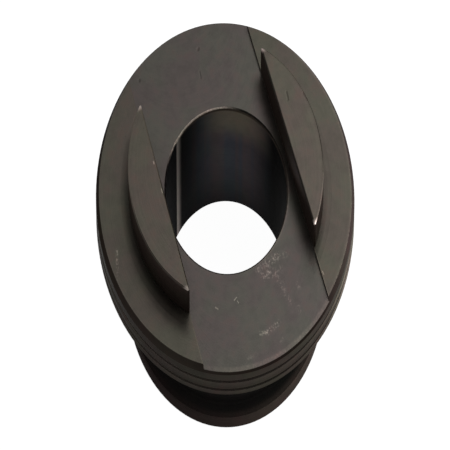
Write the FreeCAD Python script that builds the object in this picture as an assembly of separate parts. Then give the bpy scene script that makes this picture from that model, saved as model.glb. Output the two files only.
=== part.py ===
import FreeCAD, Part
import os
from collections import namedtuple

# One-piece steel bushing, turned between centres and milled once.
# From the bottom up it has a flanged foot, a slim waist and a wide head with sealing grooves round it.
# Two crescent drive lugs stand on the head, left by a straight channel milled right across it.
# The bushing stands on its foot: z = 0 is the flat underside, the bore runs along +Z and the channel
# along Y, so the lugs lie on the +X and -X sides. All sizes are in millimetres.

# Diameters
bore_diameter = 23.5
head_diameter = 50.0
ledge_diameter = 48.8
lug_diameter = 37.7
waist_diameter = 31.0
flange_diameter = 39.0

# Heights, from the foot to the tops of the lugs
flange_thickness = 2.7
waist_length = 20.25
skirt_width = 0.75
groove_width = 0.95
land_width = 1.45
top_land_width = 1.8
taper_length = 1.2
lug_height = 6.7

# Length of the lugs along the channel, over the square ends that replace their knife edges
lug_length = 27.4

# Sealing grooves round the head
groove_count = 2
groove_depth = 0.8

# Channel between the lugs, a little deeper than the ledges outside them
channel_width = 25.2
channel_step = 0.7

# Edges
edge_break = 0.2
bore_chamfer = 0.25
waist_fillet = 1.5

# Radii and levels that follow from the sizes above
bore_radius = bore_diameter / 2
head_radius = head_diameter / 2
ledge_radius = ledge_diameter / 2
lug_radius = lug_diameter / 2
waist_radius = waist_diameter / 2
flange_radius = flange_diameter / 2
groove_radius = head_radius - groove_depth

head_underside = flange_thickness + waist_length
top_groove_top = head_underside + skirt_width + groove_count * groove_width + (groove_count - 1) * land_width
taper_foot = top_groove_top + top_land_width
ledge_level = taper_foot + taper_length
lug_top = ledge_level + lug_height
channel_floor = ledge_level - channel_step

# A corner of the turned section. Its bevel or fillet is measured along the sides that meet there.
Corner = namedtuple("Corner", "radius height bevel fillet", defaults=(0.0, 0.0))


def section_point(corner):
    """The corner as a point of the XZ plane, where the section is drawn."""
    return FreeCAD.Vector(corner.radius, 0, corner.height)


def treated_corner(before, corner, after):
    """Points and edges that a bevelled, filleted or plain corner adds to the outline."""
    point = section_point(corner)
    setback = corner.bevel or corner.fillet
    if not setback:
        return [point], []
    start = point + (section_point(before) - point).normalize() * setback
    end = point + (section_point(after) - point).normalize() * setback
    if corner.bevel:
        return [start, end], [Part.makeLine(start, end)]
    # The fillets are all in square corners, where the setback is the radius itself.
    centre = start + end - point
    middle = centre + (point - centre).normalize() * corner.fillet
    return [start, end], [Part.Arc(start, middle, end).toShape()]


def section_face(corners):
    """Closed half section through the corners, with their bevels and fillets."""
    neighbours = zip(corners[-1:] + corners[:-1], corners, corners[1:] + corners[:1])
    pieces = [treated_corner(*three) for three in neighbours]
    edges = []
    for (points, corner_edges), (next_points, _) in zip(pieces, pieces[1:] + pieces[:1]):
        edges += corner_edges
        edges.append(Part.makeLine(points[-1], next_points[0]))
    return Part.Face(Part.Wire(edges))


def foot_corners():
    """Foot: the flange that the bushing stands on, with the bore's lower mouth."""
    return [
        Corner(bore_radius, 0.0, bevel=bore_chamfer),
        Corner(flange_radius, 0.0, bevel=edge_break),
        Corner(flange_radius, flange_thickness, bevel=edge_break),
    ]


def waist_corners():
    """Waist: a slim neck that runs into the foot and the head with a fillet."""
    return [
        Corner(waist_radius, flange_thickness, fillet=waist_fillet),
        Corner(waist_radius, head_underside, fillet=waist_fillet),
    ]


def head_corners():
    """Head: skirt, then a groove and a land for each groove, then the taper up to the ledges."""
    corners = [Corner(head_radius, head_underside, bevel=edge_break)]
    level = head_underside + skirt_width
    for _ in range(groove_count):
        groove_top = level + groove_width
        corners += [
            Corner(head_radius, level, bevel=edge_break),
            Corner(groove_radius, level),
            Corner(groove_radius, groove_top),
            Corner(head_radius, groove_top, bevel=edge_break),
        ]
        level = groove_top + land_width
    return corners + [Corner(head_radius, taper_foot), Corner(ledge_radius, ledge_level)]


def boss_corners():
    """Boss inside the ledges, as high as the lugs that are milled out of it."""
    return [
        Corner(lug_radius, ledge_level),
        Corner(lug_radius, lug_top, bevel=edge_break),
        Corner(bore_radius, lug_top),
    ]


def turned_blank():
    """The bushing as it leaves the lathe: the section turned about the bore's axis."""
    section = section_face(foot_corners() + waist_corners() + head_corners() + boss_corners())
    return section.revolve(FreeCAD.Vector(0, 0, 0), FreeCAD.Vector(0, 0, 1), 360)


def channel_cutter():
    """Straight channel along Y, flared at the top to break the lugs' inner edges."""
    half = channel_width / 2
    flare = half + edge_break
    reach = head_diameter
    outline = [
        (-half, channel_floor),
        (half, channel_floor),
        (half, lug_top - edge_break),
        (flare, lug_top),
        (flare, lug_top + lug_height),
        (-flare, lug_top + lug_height),
        (-flare, lug_top),
        (-half, lug_top - edge_break),
    ]
    points = [FreeCAD.Vector(x, -reach, z) for x, z in outline]
    face = Part.Face(Part.makePolygon(points + points[:1]))
    return face.extrude(FreeCAD.Vector(0, 2 * reach, 0))


def tip_cutter(side):
    """Waste beyond the lugs' ends on one side, +1 or -1 along the channel."""
    reach = head_diameter
    middle = side * (lug_length / 2 + reach / 2)
    corner = FreeCAD.Vector(-reach / 2, middle - reach / 2, ledge_level)
    return Part.makeBox(reach, reach, lug_height, corner)


def bore_mouth_cutter():
    """Chamfer of the bore's upper mouth, in the floor of the channel."""
    base = FreeCAD.Vector(0, 0, channel_floor - bore_chamfer)
    return Part.makeCone(bore_radius, bore_radius + bore_chamfer, bore_chamfer, base)


def make_bushing():
    """The finished bushing: turned, milled across the head, its lugs squared and its bore chamfered."""
    cutters = [channel_cutter(), tip_cutter(+1), tip_cutter(-1), bore_mouth_cutter()]
    return turned_blank().cut(cutters).removeSplitter()


def main():
    os.makedirs("parts", exist_ok=True)
    bushing = make_bushing()
    bushing.exportStep("parts/bushing.step")
    print("bushing: solids", len(bushing.Solids), "valid", bushing.isValid(), "height", lug_top)


main()
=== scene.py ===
# %% [markdown]
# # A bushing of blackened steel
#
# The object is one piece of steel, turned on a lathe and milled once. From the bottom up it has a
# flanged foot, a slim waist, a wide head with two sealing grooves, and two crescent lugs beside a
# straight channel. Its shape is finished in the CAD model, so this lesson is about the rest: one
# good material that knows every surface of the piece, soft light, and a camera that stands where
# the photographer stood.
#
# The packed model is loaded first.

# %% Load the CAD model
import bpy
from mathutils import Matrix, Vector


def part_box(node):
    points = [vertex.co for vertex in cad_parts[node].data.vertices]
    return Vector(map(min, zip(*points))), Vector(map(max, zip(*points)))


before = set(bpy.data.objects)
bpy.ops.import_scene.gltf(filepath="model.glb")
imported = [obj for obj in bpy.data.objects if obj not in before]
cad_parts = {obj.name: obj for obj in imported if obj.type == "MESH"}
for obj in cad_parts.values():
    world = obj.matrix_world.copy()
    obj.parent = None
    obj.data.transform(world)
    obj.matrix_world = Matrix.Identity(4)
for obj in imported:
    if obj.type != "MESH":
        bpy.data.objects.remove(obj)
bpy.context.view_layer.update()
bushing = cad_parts["bushing"]

# %% [markdown]
# ## Where each surface lies
#
# The material has to know the channel's floor from a groove. It could be told by painting the mesh
# or by giving each face its own slot, but the CAD mesh is to stay as it is. So the material asks
# only where a point is. On a turned piece two numbers answer nearly everything: the distance from
# the axis and the height above the foot. The drawing's radii and levels are named here once, in
# millimetres, and the top of the lugs is the top of the model's own box.

# %% Name the radii and the levels
import math
import bpy
import numpy as np
from mathutils import Matrix, Vector

MM = 0.001

bore_radius = 11.75
lug_radius = 18.85
flange_radius = 19.5
ledge_radius = 24.4
half_channel = 12.6
lug_half_length = 13.7
bore_chamfer = 0.25
edge_break = 0.2

flange_top = 2.7
head_underside = 22.95
grooves = [(23.7, 24.65), (26.1, 27.05)]
taper_foot = 28.85
channel_floor = 29.35
ledge_level = 30.05
lug_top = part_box("bushing")[1].z / MM
print("the lugs end", round(lug_top, 2), "mm above the foot")

# %% [markdown]
# ## Shader maths as plain sums
#
# A procedural material is a long sum of masks, and a sum is hard to read as a picture of nodes.
# Adding and wiring each Math node by hand would take four lines a sum. The class below wraps one
# socket instead, so that `1 - mask` or `radius * 2` adds its node by itself, and `this | that` is
# wherever one of two masks is on. Vectors and colours have a method of their own, because a Math
# node turns a colour grey. Every other node comes from the `node` method, which takes the node's
# type, its settings, and the values or links of its sockets.

# %% Wrap a socket
def pick_socket(sockets, key):
    """A socket by number, or by name among those in use: a Mix node has three called A."""
    if isinstance(key, int):
        return sockets[key]
    return next(socket for socket in sockets if socket.enabled and socket.name == key)


class Signal:
    """One output socket of a node tree. Sums and products of signals add Math nodes."""

    def __init__(self, socket):
        self.socket = socket

    def node(self, kind, settings, inputs, output=0):
        """Adds a node: the settings first, then its sockets, and returns one output."""
        tree = self.socket.id_data
        made = tree.nodes.new(kind)
        for name, setting in settings.items():
            setattr(made, name, setting)
        for key, value in inputs.items():
            socket = pick_socket(made.inputs, key)
            if isinstance(value, Signal):
                tree.links.new(value.socket, socket)
            else:
                socket.default_value = value
        return Signal(pick_socket(made.outputs, output))

    def maths(self, operation, *others):
        """A Math node with this signal as its first value."""
        values = dict(enumerate([self, *others]))
        return self.node("ShaderNodeMath", {"operation": operation}, values)

    def vector_maths(self, operation, other, output="Vector"):
        """A Vector Math node with this signal first. A single number fills all three axes."""
        vectors = {0: self, 1: other}
        return self.node("ShaderNodeVectorMath", {"operation": operation}, vectors, output)

    def __add__(self, other):
        return self.maths("ADD", other)

    def __sub__(self, other):
        return self.maths("SUBTRACT", other)

    def __rsub__(self, other):
        return self.node("ShaderNodeMath", {"operation": "SUBTRACT"}, {0: other, 1: self})

    def __mul__(self, other):
        return self.maths("MULTIPLY", other)

    def __or__(self, other):
        return self.maths("MAXIMUM", other)

    __radd__, __rmul__, __ror__ = __add__, __mul__, __or__


print("a signal understands", [name for name in vars(Signal) if name.startswith("__r")])

# %% [markdown]
# ## Masks and colours
#
# Small helpers turn a distance into a mask. `rise` climbs smoothly from 0 to 1, `near` falls from
# a wall, `band` is 1 between two values, and `between` turns a mask into any two numbers. A colour
# ramp could do the same, but its stops would hide the millimetres that a mask starts and ends at.

# %% Helpers for masks
def rise(signal, start, end):
    """0 at start, 1 at end, and an S-shaped climb between them."""
    span = {"From Min": start, "From Max": end, "Value": signal}
    return signal.node("ShaderNodeMapRange", {"interpolation_type": "SMOOTHSTEP"}, span)


def near(distance, reach):
    """1 at a distance of 0, falling to 0 at the reach."""
    return rise(distance, reach, 0.0)


def band(signal, low, high, soft):
    """1 from low to high, falling to 0 over the soft distance outside them."""
    return rise(signal, low - soft, low) * (1 - rise(signal, high, high + soft))


def between(mask, off, on):
    """The value off where the mask is 0, and the value on where it is 1."""
    return mask * (on - off) + off


print("helpers for masks:", [helper.__name__ for helper in (rise, near, band, between)])

# %% [markdown]
# Colours are written as they look on a screen, because that is how they are compared with a
# photograph, and `tone` takes them to the linear numbers of a shader. `blend` lays one colour over
# another, and `lay` does so layer by layer, as a painter would.

# %% Helpers for colours
def tone(red, green, blue):
    """The linear colour that the sRGB curve shows on a screen as these values from 0 to 255."""
    screen = np.array([red, green, blue]) / 255
    linear = np.where(screen > 0.04045, ((screen + 0.055) / 1.055) ** 2.4, screen / 12.92)
    return (*linear.tolist(), 1.0)


def grey(share):
    """The linear grey that throws back this share of the light."""
    return (share, share, share, 1.0)


def blend(mask, under, over):
    """Lays the colour over on the colour under, as far as the mask says."""
    sockets = {"Factor": mask, "A": under, "B": over}
    return mask.node("ShaderNodeMix", {"data_type": "RGBA"}, sockets, "Result")


def lay(under, *layers):
    """Lays layers over the colour under, lowest first. Each is a mask and its colour."""
    for mask, over in layers:
        under = blend(mask, under, over)
    return under


print("a mid grey of 128 on the screen is", round(tone(128, 128, 128)[0], 3), "in the shader")

# %% [markdown]
# ## Start the material
#
# The steel is one Principled shader. A coat of black paint would be a dull base under a gloss, but
# blackened steel is a metal under a thin dark oxide, so it is metallic, and its colour is the
# share of light that it throws back. The specular tint keeps the edge-on gloss low, as an oiled
# oxide does, and it is set on the shader's own socket because it is the same all over.
#
# Object coordinates are metres, so they are scaled to millimetres first, and every number after
# that can be compared with the drawing. `across` runs from the left lug to the right one, `along`
# down the channel to the far side, and `from_middle` and `from_centre` are the two without their
# signs. The angle round the axis is in degrees: 0 on the right, 90 on the far side and -90 on the
# near one.

# %% A metallic shader and the point's place on the piece
steel = bpy.data.materials.new("blackened_steel")
steel.use_nodes = True
shader = steel.node_tree.nodes["Principled BSDF"]
shader.inputs["Metallic"].default_value = 1.0
shader.inputs["Specular Tint"].default_value = grey(0.45)

place = Signal(steel.node_tree.nodes.new("ShaderNodeTexCoord").outputs["Object"])
point = place.vector_maths("MULTIPLY", (1 / MM, 1 / MM, 1 / MM))
axes = [point.node("ShaderNodeSeparateXYZ", {}, {0: point}, axis) for axis in range(3)]
across, along, height = axes
from_middle = across.maths("ABSOLUTE")
from_centre = along.maths("ABSOLUTE")
on_right = rise(across, -1.0, 1.0)
radius = (across * across + along * along).maths("SQRT")
angle = along.maths("ARCTAN2", across) * math.degrees(1.0)
print("the shader works in millimetres from", place.socket.name, "coordinates")

# %% [markdown]
# ## Which surface is this?
#
# Each surface becomes one mask from radius and height. `skin` is how deep a face owns the metal,
# far less than any step of the piece. The ground faces are the flat ones on top: the channel's
# floor, the ledges and the tops of the lugs. They came off the machine last, and their tones are
# painted paler than the turned sides, partly as painted light that falls on them from above.

# %% Masks of the flat faces and the lugs
skin = 0.04
wall_top = lug_top - edge_break
flat_top_start = half_channel + edge_break
flat_top_end = lug_radius - edge_break


def at_level(level):
    """1 on a flat face at that height, and 0 above and below it."""
    return band(height, level - skin, level + skin, skin)


in_channel = 1 - rise(from_middle, half_channel, half_channel + skin)
on_floor = at_level(channel_floor) * in_channel
on_ledge = at_level(ledge_level) * (1 - in_channel)
on_lug_top = rise(height, wall_top - skin, wall_top)
ground_face = on_floor | on_ledge | on_lug_top

on_inner_wall = band(height, channel_floor + 2 * skin, wall_top, skin) * in_channel
on_outer_wall = band(height, ledge_level + 2 * skin, wall_top, skin)
on_lug_edge = rise(height, wall_top - edge_break, wall_top)
on_inner_edge = on_lug_edge * (1 - rise(from_middle, flat_top_start, flat_top_start + edge_break))
on_outer_edge = on_lug_edge * rise(radius, flat_top_end - skin, flat_top_end)
print("nodes for the flat faces and the lugs:", len(steel.node_tree.nodes))

# %% [markdown]
# The turned surfaces come next: the bore with the chamfer of its mouth, the taper, the head's side
# with its grooves, and the foot. Only the foot's rim and its underside count as the foot. Its top
# face lies so deep under the head that it keeps the waist's tone, painted near black as shade.

# %% Masks of the turned surfaces
mouth_radius = bore_radius + bore_chamfer
in_bore = 1 - rise(radius, bore_radius + skin, bore_radius + 2 * skin)
on_mouth = band(radius, bore_radius + skin, mouth_radius - skin, skin)
on_mouth = on_mouth * band(height, channel_floor - bore_chamfer, channel_floor - skin, skin)

past_ledges = rise(radius, ledge_radius, ledge_radius + skin)
on_taper = rise(height, taper_foot, taper_foot + skin) * past_ledges
on_side = band(height, head_underside + skin, taper_foot, skin)
in_grooves = band(height, *grooves[0], skin) | band(height, *grooves[1], skin)

rim_width = 1.4
on_rim = rise(radius, flange_radius - rim_width, flange_radius - edge_break)
on_underside = near(height, edge_break)
on_foot = (1 - rise(height, flange_top, flange_top + skin)) * (on_rim | on_underside)
print("nodes for all the masks:", len(steel.node_tree.nodes))

# %% [markdown]
# ## Noise for everything that is uneven
#
# Three sizes of noise are shared by tones, marks and relief: clouds of several millimetres,
# blotches of a millimetre or two and a fine grain. `speckle` is a noise made hard, which breaks
# up marks that would look drawn. `lines` is noise in one dimension: it changes with one distance
# only, as tool marks do.

# %% Noise in three sizes, and in lines
def noise(size, detail, roughness):
    """Cloudy noise between 0 and 1, with features of that size in millimetres."""
    sockets = {"Vector": point, "Scale": 1 / size, "Detail": detail, "Roughness": roughness}
    return point.node("ShaderNodeTexNoise", {}, sockets)


def lines(position, size):
    """One-dimensional noise between 0 and 1 that changes with the position only."""
    sockets = {"W": position, "Scale": 1 / size, "Detail": 3.0, "Roughness": 0.6}
    return position.node("ShaderNodeTexNoise", {"noise_dimensions": "1D"}, sockets)


clouds = noise(size=6.25, detail=3.0, roughness=0.6)
blotches = noise(size=1.82, detail=4.0, roughness=0.6)
grain = noise(size=0.2, detail=3.0, roughness=0.75)
speckle = rise(noise(size=0.385, detail=3.0, roughness=0.8), 0.47, 0.65)
print("nodes with the noise:", len(steel.node_tree.nodes))

# %% [markdown]
# ## Tone of each surface
#
# One colour is laid over the other, from the waist outwards, and most of these tones are painted
# light and shade. The waist is painted the blackest, as the shade under the head. The sides, the
# taper and the foot are painted paler from left to right, as the light from the lamps on the right
# falls on them. The grooves are painted paler than the sides on the left, to lift the shade inside
# them, and grow darker from left to right.

# %% Lay the tones of the turned sides over each other
# Painted shade: the waist and the foot's top face get a near-black tone for the shade under the
# head.
waist_shade_tone = tone(30, 29, 29)
# Painted light: the sides, the taper and the foot grow paler towards the lamps on the right, and
# the grooves are painted paler than the sides on the left against their shade.
side_lit_tone = blend(rise(across, -20.0, 20.0), tone(48, 45, 43), tone(70, 65, 60))
groove_lifted_tone = blend(rise(across, -20.0, 0.0), tone(76, 71, 68), tone(64, 59, 56))
taper_lit_tone = lay(
    tone(35, 31, 29),
    (rise(across, -20.0, -4.0), tone(29, 24, 22)),
    (rise(across, 7.0, 23.0), tone(66, 58, 57)),
)
foot_lit_tone = blend(rise(across, -18.0, 8.0), tone(36, 31, 31), tone(63, 55, 53))

colour = lay(
    waist_shade_tone,
    (on_side, side_lit_tone),
    (in_grooves, groove_lifted_tone),
    (on_taper, taper_lit_tone),
    (on_foot, foot_lit_tone),
)
print("nodes with the turned sides:", len(steel.node_tree.nodes))

# %% [markdown]
# The flat faces are a greyer steel. The lugs' walls are darker than their tops. Their outer edges
# are painted dark at the near ends, as the line of shade where the lug meets the ledge, and pale
# at the far ones. The inner edge is painted pale on the left lug, which faces the lamps, and dark
# on the right lug, which faces away from them: painted light and painted shade.

# %% Lay the tones of the flat faces and the lugs over them
# Painted light and shade: the left lug's inner edge faces the lamps and is pale, the right lug's
# faces away and is dark.
inner_edge_light_and_shade = blend(on_right, tone(74, 69, 63), tone(32, 30, 28))
# Painted shade: the outer edges are dark at the near ends, where the lug meets the ledge, and pale
# at the far ends.
outer_edge_tone_with_shade = blend(rise(along, -6.0, 6.0), tone(46, 43, 40), tone(80, 76, 71))
colour = lay(
    colour,
    (on_outer_wall, tone(58, 51, 48)),
    (on_inner_wall, tone(70, 61, 58)),
    # The ground faces' paler tones are partly painted light from above.
    (on_floor, tone(69, 66, 65)),
    (on_ledge, tone(68, 65, 61)),
    (on_lug_top, tone(71, 67, 63)),
    (on_inner_edge, inner_edge_light_and_shade),
    (on_outer_edge, outer_edge_tone_with_shade),
)
print("nodes with the flat faces and the lugs:", len(steel.node_tree.nodes))

# %% [markdown]
# ## The bore
#
# The bore's colour is mostly painted light and shade, laid over the angle round the axis and the
# height, in degrees and millimetres. A ring below its upper mouth is painted brown as the light
# that falls in from above, with a thin painted shade just under the lip. Down its far and near
# sides a paler grey is painted as a reflection, darker towards the foot, and elsewhere the bore is
# black. A pale line with one sharp side runs down it, and beyond that line the wall is painted
# black again as shade.

# %% Painted light and shade down the bore
past_right = rise(angle, 16.0, 52.0)
far_side = past_right * (1 - rise(angle, 70.0, 118.0))
near_side = band(angle, -130.0, -50.0, 30.0)
# Painted reflection: a paler grey on the far and near sides, fading darker towards the foot.
painted_sheen = (far_side | near_side) * rise(height, -6.0, 22.0)
black_wall = blend(rise(angle, 0.0, 30.0), tone(16, 16, 16), tone(23, 23, 24))
sheen_grey = blend(rise(lines(angle, 14.3), 0.4, 0.6), tone(79, 74, 78), tone(69, 74, 83))

# Painted light: the brown ring where light falls in from above. Painted shade: a thin band just
# under the lip.
painted_light_ring = past_right * (1 - rise(angle, 62.0, 100.0)) * rise(height, 18.5, 26.5)
shade_under_lip = rise(height, 28.3, 28.8)
# Painted shade on the wall beyond the pale line. The pale line itself is a pale streak with one
# sharp side.
shade_past_streak = rise(angle, 124.0, 127.0)
pale_streak = rise(angle, 117.5, 124.5) * (1 - rise(angle, 125.0, 125.6))
bore_tone = lay(
    black_wall,
    (painted_sheen, sheen_grey),
    (painted_light_ring, tone(114, 106, 98)),
    (shade_under_lip, tone(64, 57, 52)),
    (shade_past_streak, tone(17, 17, 18)),
    (pale_streak, tone(139, 133, 131)),
)
colour = blend(in_bore, colour, bore_tone)
print("nodes with the bore:", len(steel.node_tree.nodes))

# %% [markdown]
# The small chamfer of the mouth is painted with a bright highlight on its far side, and dark over
# the rest of its far half. Speckle keeps the ring from looking drawn with a compass.

# %% A painted highlight round the mouth
# Painted highlight on the far side of the mouth's chamfer.
mouth_highlight = band(angle, 85.0, 116.0, 32.0) * between(speckle, 0.55, 1.0)
mouth_tone = lay(
    tone(56, 52, 49),
    (rise(angle, -25.0, 0.0), tone(22, 21, 20)),
    (mouth_highlight, tone(172, 161, 155)),
)
colour = blend(on_mouth, colour, mouth_tone)
print("nodes with the mouth:", len(steel.node_tree.nodes))

# %% [markdown]
# ## Painted shade in the corners
#
# The inner corners are painted darker as shade: on the channel's floor beside the lugs and on the
# ledges round them. The renderer finds soft shadows there by itself, and the painted shade deepens
# them whatever the light does. It is darkest where the lugs stand between the corner and the lamps
# on the right: on the floor by the right lug and on the ledge round the left one.

# %% Paint shade into the inner corners
floor_reach, ledge_reach = 3.3, 2.0
floor_shade_strength = between(on_right, 0.10, 0.85)
ledge_shade_strength = between(on_right, 0.70, 0.15)
beside_lugs = 1 - rise(from_centre, lug_half_length - 2.0, lug_half_length + 0.5)

floor_shade = near(half_channel - from_middle, floor_reach) * on_floor * floor_shade_strength
ledge_shade = near(radius - lug_radius, ledge_reach) * on_ledge * ledge_shade_strength
# Painted shade: the inner corners are darkened towards this tone, and the reach is how far it
# spreads.
colour = blend((floor_shade | ledge_shade) * beside_lugs, colour, tone(34, 32, 30))
print("dirt reaches", floor_reach, "mm over the floor and", ledge_reach, "mm over the ledges")

# %% [markdown]
# ## Scuffs, nicks and pits
#
# The photograph shows what handling did to the flat faces: dusty pale scuffs beside the bore, a
# zigzag near the front rim, small dark pits on the far side and on the right lug, and pale nicks
# on the floor and in the lugs' edges. They could be scattered by noise, but then none would lie
# where the real ones do. So each is one `stroke`: the distance from a point to a segment on the
# plan, made a mask.

# %% A stroke on the plan
plan = point.vector_maths("MULTIPLY", (1.0, 1.0, 0.0))


def stroke(start, end, width):
    """1 on the plan's segment from start to end, fading to 0 at the width beside it.

    The share of the way along the segment is (point - start) . run / run . run, kept in 0 to 1.
    """
    start, end = Vector((*start, 0.0)), Vector((*end, 0.0))
    run = end - start
    offset = plan.vector_maths("SUBTRACT", start)
    share = offset.vector_maths("DOT_PRODUCT", run / run.length_squared, "Value")
    share = share.node("ShaderNodeClamp", {}, {"Value": share})
    nearest = share.vector_maths("MULTIPLY", run)
    return near(offset.vector_maths("DISTANCE", nearest, "Value"), width)


def strokes(segments):
    """All the strokes of a list of (start, end, width) as one mask, in millimetres."""
    masks = [stroke(*segment) for segment in segments]
    return sum(masks[1:], masks[0])


print("nodes before the first stroke:", len(steel.node_tree.nodes))

# %% [markdown]
# Two lists of scuffs differ in strength only. Speckle breaks both into crumbs, because a scuff is
# a rough spot that touched only the high points of the steel.

# %% Scuffs
scuff_strength, faint_strength = 0.40, 0.17

scuffs = strokes([
    ((1.7, -12.6), (5.5, -12.2), 1.0),
    ((2.2, -13.8), (3.6, -13.9), 0.9),
    ((-1.2, -20.7), (0.0, -21.0), 0.5),
    ((0.0, -21.0), (2.5, -20.6), 0.6),
    ((-22.5, -1.0), (-23.2, -3.4), 0.35),
])
faint_scuffs = strokes([
    ((3.6, -13.9), (5.6, -14.1), 0.9),
    ((5.5, -12.2), (7.2, -12.4), 0.9),
    ((4.4, -14.4), (5.0, -16.0), 0.7),
    ((5.0, -16.0), (5.6, -18.9), 0.7),
    ((7.9, -17.0), (8.0, -17.7), 0.5),
    ((6.8, -19.6), (6.8, -20.6), 0.5),
    ((1.9, -23.1), (2.7, -22.7), 0.4),
    ((-4.5, -22.9), (-2.8, -23.0), 0.4),
    ((-23.3, -3.8), (-23.6, -4.9), 0.4),
])
scuffed = (scuffs * scuff_strength + faint_scuffs * faint_strength) * speckle * ground_face
colour = blend(scuffed, colour, tone(150, 142, 136))
print("nodes with the scuffs:", len(steel.node_tree.nodes))

# %% [markdown]
# A nick is bare steel and so pale, a pit holds oil and so dark. Both are kept as masks, because
# they are dents too and come back in the relief.

# %% Nicks and pits
nick_strength, pit_strength = 0.30, 0.38

nicked = ground_face * strokes([
    ((-4.1, -14.9), (-3.6, -14.7), 0.18),
    ((-3.6, -15.2), (-3.5, -15.5), 0.15),
    ((-7.7, -14.6), (-7.4, -14.9), 0.22),
    ((-13.0, 5.1), (-13.0, 4.8), 0.22),
    ((-12.9, 1.0), (-12.9, 0.4), 0.12),
    ((12.9, -17.4), (13.0, -17.9), 0.16),
])
pitted = ground_face * strokes([
    ((2.0, 21.2), (2.1, 21.3), 0.40),
    ((1.1, 17.9), (1.0, 16.9), 0.22),
    ((-10.6, 20.7), (-10.6, 20.6), 0.40),
    ((18.0, 4.5), (18.4, 3.4), 0.30),
    ((14.9, 5.8), (14.8, 4.7), 0.30),
])
colour = lay(
    colour,
    (nicked * nick_strength, tone(160, 151, 144)),
    (pitted * pit_strength, tone(22, 20, 19)),
)
print("nodes with the nicks and pits:", len(steel.node_tree.nodes))

# %% [markdown]
# ## Pale edges
#
# Edges lose their oxide first: the tips of the lugs and the step from the ledges down to the
# channel are worn pale. The outer rim is paler on its near and right side, and the floor's edge on
# the near side of the bore carries a painted highlight. A Bevel or Pointiness node finds edges by
# itself, but it finds all of them, and here only some are pale. So each has its own mask: how near
# it is, times where along it the paleness lies.

# %% Lighten the exposed edges
tip_strength, edge_strength = 0.5, 0.25
tip_start, tip_end = lug_half_length - 0.9, lug_half_length - 0.1
rim_reach, bore_reach, step_reach = 0.40, 0.35, 0.25

at_tips = rise(from_centre, tip_start, tip_end) * on_lug_top
rim_pale_side = band(angle, -100.0, 20.0, 30.0) * ground_face
at_rim = rise(radius, ledge_radius - rim_reach, ledge_radius) * rim_pale_side
# Painted highlight along the floor's edge on the near side of the bore.
bore_edge_highlight = band(angle, -75.0, -20.0, 20.0) * on_floor
at_bore = near(radius - mouth_radius, bore_reach) * bore_edge_highlight
worn_step = (1 - rise(along, -18.0, -12.0)) * on_ledge
at_step = near(from_middle - half_channel, step_reach) * worn_step

colour = lay(
    colour,
    (at_tips * tip_strength, tone(176, 165, 162)),
    ((at_rim | at_bore) * between(speckle, 0.10, edge_strength), tone(130, 118, 112)),
    (at_step * edge_strength, tone(110, 104, 96)),
)
print("nodes with the edges:", len(steel.node_tree.nodes))

# %% [markdown]
# ## Mottling
#
# Oxide never grows evenly. The clouds lean the grey towards brown or green, the blotches lighten
# and darken it, and the grain keeps the surface from looking like paint. The tints multiply the
# colour, so that dark places stay dark.

# %% Vary the tone
cloud_tint = blend(rise(clouds, 0.38, 0.62), tone(255, 248, 244), tone(248, 252, 240))
blotch_tint = blend(rise(blotches, 0.50, 0.68), tone(255, 255, 255), tone(255, 246, 246))
colour = colour.vector_maths("MULTIPLY", cloud_tint).vector_maths("MULTIPLY", blotch_tint)

blotch_share, cloud_share, grain_share = 0.16, 0.06, 0.22
darkest = 0.785
mottling = rise(blotches, 0.3, 0.7) * blotch_share + rise(clouds, 0.3, 0.7) * cloud_share
mottling = mottling + grain * grain_share + darkest
print("nodes with the mottling:", len(steel.node_tree.nodes))

# %% [markdown]
# ## Tool marks
#
# A lathe leaves fine rings. They follow the radius on a flat face and the height on a round side,
# so the sum of both serves every turned surface. The end mill left arcs as wide as the channel:
# where they cross the middle they run a radius ahead of where they meet the walls. Both are
# one-dimensional noise and far too fine to be cut into the mesh, so they are bump: 0.03 mm deep on
# the sides, and less than a third of that on the flat faces.

# %% Rings from the lathe, arcs from the mill
side_depth, face_depth, floor_depth = 0.030, 0.008, 0.005
grain_depth, dent_depth = 0.002, 0.02

milled = on_floor | on_inner_wall
turned = (1 - ground_face) * (1 - in_bore) * (1 - on_inner_wall)
ring_marks = lines(radius + height, 0.555)
bow = (half_channel ** 2 - across * across).maths("MAXIMUM", 0.0).maths("SQRT")
arc_marks = lines(along + bow, 0.714)
tool_marks = between(milled, ring_marks, arc_marks)

mark_depth = turned * (side_depth - face_depth) + milled * (floor_depth - face_depth) + face_depth
relief = tool_marks * mark_depth + grain * grain_depth - (nicked + pitted) * dent_depth
bump = relief.node("ShaderNodeBump", {}, {"Height": relief, "Distance": MM, "Strength": 1.0})
print("tool marks", side_depth, "mm deep on the sides and", face_depth, "mm on the flat faces")

# %% [markdown]
# ## Join the signals to the shader
#
# Tool marks catch dirt as well as light, so they also darken and lighten the colour a little, and
# more so on the sides. The ground faces are the smoothest. The sides keep the lathe's rougher cut,
# the bore is rougher still, and the grooves and the waist are the roughest, because only a narrow
# tool reached them.

# %% Colour, roughness and bump
face_contrast, side_contrast = 0.10, 0.40
strength = mottling + (tool_marks - 0.5) * between(turned, face_contrast, side_contrast)
colour = colour.vector_maths("MULTIPLY", strength)

side_roughness = 0.40
grain_rougher, narrow_rougher, bore_rougher, ground_smoother = 0.12, 0.28, 0.15, 0.16
under_head = 1 - rise(height, head_underside - edge_break, head_underside)
narrow_cut = (in_grooves | under_head) * (1 - in_bore)
roughness = grain * grain_rougher + narrow_cut * narrow_rougher + in_bore * bore_rougher
roughness = roughness - ground_face * ground_smoother + side_roughness

for signal, socket_name in ((colour, "Base Color"), (roughness, "Roughness"), (bump, "Normal")):
    steel.node_tree.links.new(signal.socket, shader.inputs[socket_name])
bushing.data.materials.clear()
bushing.data.materials.append(steel)
print("nodes in the finished steel:", len(steel.node_tree.nodes))

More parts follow.
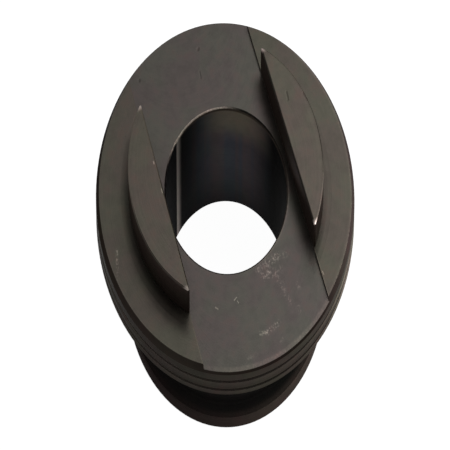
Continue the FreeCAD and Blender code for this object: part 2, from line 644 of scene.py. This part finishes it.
# %% [markdown]
# ## The floor
#
# The bushing stands on a round sheet of card. It lies a hair under the foot, because two faces at
# one height would flicker through each other when seen from below. A plane would do for the
# photograph's own view, but a round sheet looks the same from every side.

# %% A round floor
floor_radius = 6.0
floor_gap = 0.05 * MM


def disc(name, outer_radius, level, rings, sectors):
    """Flat round sheet in metres: x = r cos a and y = r sin a over a grid of r and a."""
    radii = np.linspace(0, outer_radius, rings)[1:]
    angles = np.linspace(0, 2 * np.pi, sectors, endpoint=False)
    r, a = np.meshgrid(radii, angles)
    grid = np.stack([r * np.cos(a), r * np.sin(a), np.full_like(r, level)], axis=2)
    points = np.vstack([[[0, 0, level]], grid.reshape(-1, 3)])

    index = 1 + np.arange(r.size).reshape(r.shape)
    after = np.roll(index, -1, axis=0)
    corners = [index[:, :-1], index[:, 1:], after[:, 1:], after[:, :-1]]
    quads = np.stack(corners, axis=2).reshape(-1, 4)
    centre = np.stack([np.zeros(sectors, int), index[:, 0], after[:, 0]], axis=1)
    mesh = bpy.data.meshes.new(name)
    mesh.from_pydata(points.tolist(), [], centre.tolist() + quads.tolist())
    return mesh


floor = bpy.data.objects.new("floor", disc("floor", floor_radius, -floor_gap, rings=4, sectors=96))
bpy.context.scene.collection.objects.link(floor)
print("floor faces", len(floor.data.polygons))

# %% [markdown]
# The photograph has a pure white ground. Enough lamps would make any card white, but they would
# bleach the steel too. So the card glows for rays that come from the camera, from a gloss or
# through glass, and is plain pale card for all other rays, so it adds no light to the piece. A
# small part of what is seen is still lit by the lamps, and that part keeps the shadow.

# %% A card that is white to look at
pale_tone, lit_tone, glow_strength = grey(0.8), grey(0.15), 0.97


def seen_rays(tree):
    """1 for rays from the camera, from a gloss or through glass, and 0 for all others."""
    path = tree.nodes.new("ShaderNodeLightPath")
    names = ("Is Camera Ray", "Is Glossy Ray", "Is Transmission Ray")
    camera_ray, glossy_ray, passed_ray = [Signal(path.outputs[name]) for name in names]
    return camera_ray | glossy_ray | passed_ray


card = bpy.data.materials.new("floor_card")
card.use_nodes = True
card.node_tree.nodes.clear()
seen = seen_rays(card.node_tree)
pale = seen.node("ShaderNodeBsdfDiffuse", {}, {"Color": pale_tone})
lit = seen.node("ShaderNodeBsdfDiffuse", {}, {"Color": lit_tone})
glow = seen.node("ShaderNodeEmission", {}, {"Color": grey(1.0), "Strength": glow_strength})
white = seen.node("ShaderNodeAddShader", {}, {0: lit, 1: glow})
surface = seen.node("ShaderNodeMixShader", {}, {0: seen, 1: pale, 2: white})
output = card.node_tree.nodes.new("ShaderNodeOutputMaterial")
card.node_tree.links.new(surface.socket, output.inputs["Surface"])
floor.data.materials.append(card)
print("nodes in the card:", len(card.node_tree.nodes))

# %% [markdown]
# ## The light
#
# The photograph was taken in the even light of a room, with no hard shadow. A ring of lamps could
# give that too, but each would leave its own streak on the metal. The world stands for the room
# instead: white to look at, and half as strong where it lights the piece, so that the lamps still
# model it.

# %% The room's light
room_light = 0.5
world = bpy.data.worlds.new("studio")
world.use_nodes = True
bpy.context.scene.world = world
background = world.node_tree.nodes["Background"]
background.inputs["Color"].default_value = grey(1.0)
world_strength = between(seen_rays(world.node_tree), room_light, 1.0)
world.node_tree.links.new(world_strength.socket, background.inputs["Strength"])
print("the world gives", room_light, "to the piece and is 1 to look at")

# %% [markdown]
# Two large soft lamps do the rest. The key hangs above, a little to the right, and gives the flat
# faces their slight fall from right to left. The side lamp stands low on the right, where a
# window would be. It hardly reaches the flat faces, but it picks out the lands between the
# grooves, the taper and the foot, as the photograph shows them.

# %% Two area lamps
def lamp(name, size, power, position, target):
    """Square area lamp in metres and watts, at the position and aimed at the target."""
    data = bpy.data.lights.new(name, "AREA")
    data.size = size
    data.energy = power
    made = bpy.data.objects.new(name, data)
    made.location = position
    made.rotation_mode = "QUATERNION"
    made.rotation_quaternion = (Vector(target) - Vector(position)).to_track_quat("-Z", "Y")
    bpy.context.scene.collection.objects.link(made)
    return made


key = lamp("key", size=0.3, power=0.5, position=(0.21, 0.06, 0.35), target=(0, 0, 0.03))
side = lamp("side", size=0.4, power=3.8, position=(0.6, -0.15, 0.10), target=(0, 0, 0.02))
print("lamps:", key.name, key.data.energy, "W,", side.name, side.data.energy, "W")

# %% [markdown]
# ## The camera
#
# The photograph was squeezed: a round bushing shows narrower than it is high. A camera that looks
# at its subject squarely cannot show that, but one whose picture plane leans back can, as a sheet
# of paper seen from the side looks narrower. First come the directions: where the camera looks
# from, and the two sides of its leaning picture plane.

# %% Directions of the picture plane
elevation = math.radians(65.28)
azimuth = math.radians(-21.08)
roll = math.radians(0.75)
swing = math.radians(18.50)
skew = math.radians(0.60)
lean = math.radians(51.16)

ahead = Vector((math.sin(azimuth), -math.cos(azimuth), 0.0))
back = ahead * math.cos(elevation) + Vector((0.0, 0.0, math.sin(elevation)))
level_right = Vector((math.cos(azimuth), math.sin(azimuth), 0.0))
upright = back.cross(level_right)
right = level_right * math.cos(roll) + upright * math.sin(roll)
up = upright * math.cos(roll) - level_right * math.sin(roll)
plane_right = right * math.cos(swing) + back * math.sin(swing)
plane_up = (up * math.cos(skew) + right * math.sin(skew)) * math.cos(lean) + back * math.sin(lean)
print("the camera looks down from", round(math.degrees(elevation), 1), "degrees")

# %% [markdown]
# An object's own rotation keeps its axes square, but the inverse matrix of a parent keeps any
# matrix as it is given. So the camera hangs on an empty stand, and the lean goes into that
# matrix. The camera itself stays plain: no shift, no depth of field, square pixels. It stands
# three quarters of a metre away with a long lens, as for a picture of a small part.

# %% A camera on a stand
distance = 736.8 * MM
target = Vector((-2.24, -4.99, ledge_level)) * MM

stand = bpy.data.objects.new("camera_stand", None)
camera_data = bpy.data.cameras.new("camera")
camera_data.lens = 292.4
camera_data.sensor_width = 36.0
camera_data.clip_start, camera_data.clip_end = 0.05, 20.0
camera = bpy.data.objects.new("camera", camera_data)
for thing in (stand, camera):
    bpy.context.scene.collection.objects.link(thing)
camera.parent = stand
picture_plane = Matrix((plane_right, plane_up, back)).transposed().to_4x4()
camera.matrix_parent_inverse = Matrix.Translation(target + back * distance) @ picture_plane
bpy.context.scene.camera = camera
print("camera", round(distance, 3), "m away, with a lens of", round(camera_data.lens, 1), "mm")

# %% [markdown]
# ## Finish
#
# The Standard view shows a colour as it was written. Nothing was added to the piece.

# %% Finish
bpy.context.scene.view_settings.view_transform = "Standard"
